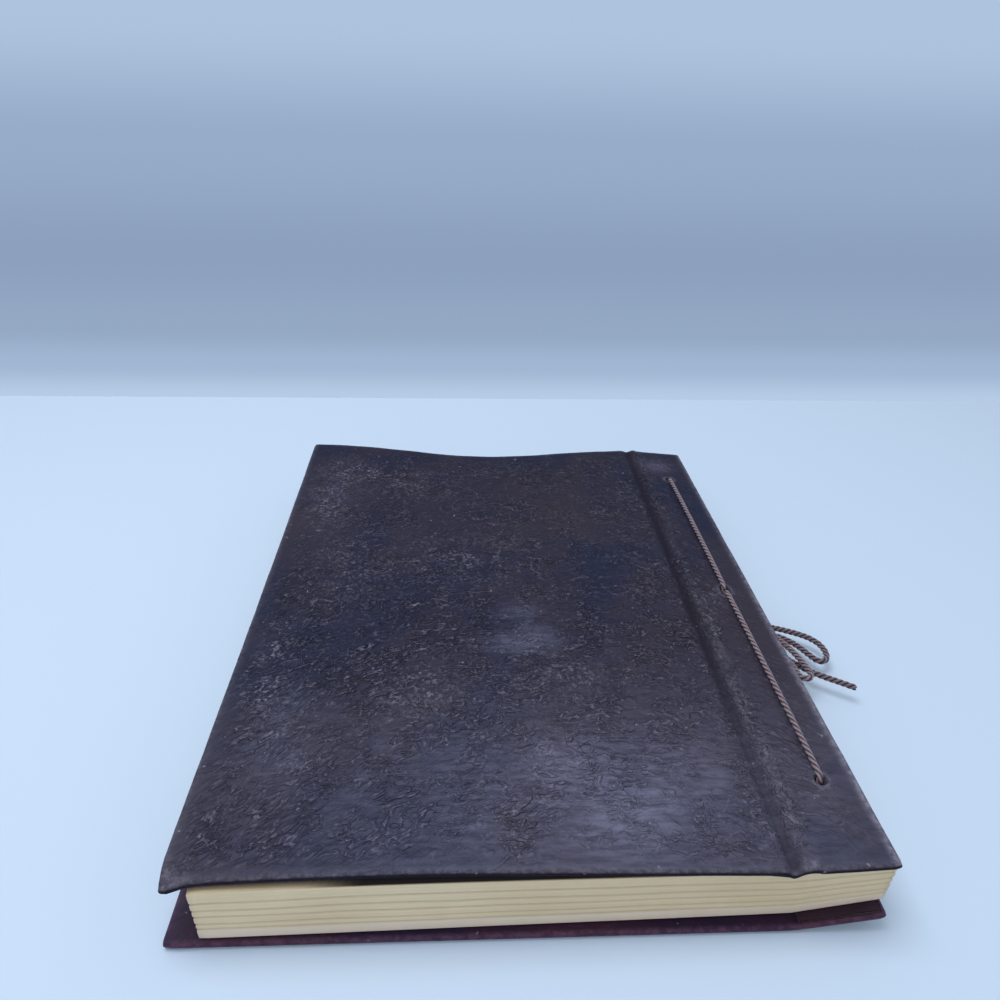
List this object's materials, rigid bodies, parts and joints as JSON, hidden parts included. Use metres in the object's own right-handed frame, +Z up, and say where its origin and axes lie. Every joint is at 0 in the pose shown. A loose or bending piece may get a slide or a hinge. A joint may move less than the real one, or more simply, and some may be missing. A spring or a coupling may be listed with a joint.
{
  "type": "laced leather album book",
  "caption": "Laced leather album book lying shut, with creased hinged covers, a thick cream page block and a twisted cord tied in a bow at the spine.",
  "frame": {"origin": "middle of the book's bounding box, on the surface it rests on, measured without the bow", "axes": "+X towards the spine edge, +Y along the spine towards the far end, +Z up through the front cover"},
  "size_m": [0.2863, 0.3078, 0.036],
  "materials": {
    "hide": "worn dark brown hide with an embossed crackle",
    "board": "grey-brown pasteboard",
    "lining": "smooth dark maroon lining",
    "pages": "aged cream paper",
    "cord": "twisted mauve-brown cord"
  },
  "bodies": {
    "binding": {"page_block": "pages", "front_strip_leather": "hide", "front_strip_board": "board", "front_strip_lining": "lining", "back_strip_leather": "hide", "back_strip_board": "board", "back_strip_lining": "lining", "lacing_cord": "cord", "bow_knot": "cord", "bow_big_loop": "cord", "bow_small_loop": "cord", "bow_upper_tail": "cord", "bow_lower_tail": "cord"},
    "front_cover": {"front_panel_leather": "hide", "front_panel_board": "board", "front_panel_lining": "lining"},
    "back_cover": {"back_panel_leather": "hide", "back_panel_board": "board", "back_panel_lining": "lining"}
  },
  "joints": [
    {"name": "front_cover_hinge", "type": "hinge", "parent": "binding", "child": "front_cover", "pos_m": [0.0882, 0, 0.0312], "axis": [0, 1, 0.0033], "range_deg": [0, 160]},
    {"name": "back_cover_hinge", "type": "hinge", "parent": "binding", "child": "back_cover", "pos_m": [0.092, 0, 0], "axis": [0, -1, 0], "range_deg": [0, 160]}
  ]
}
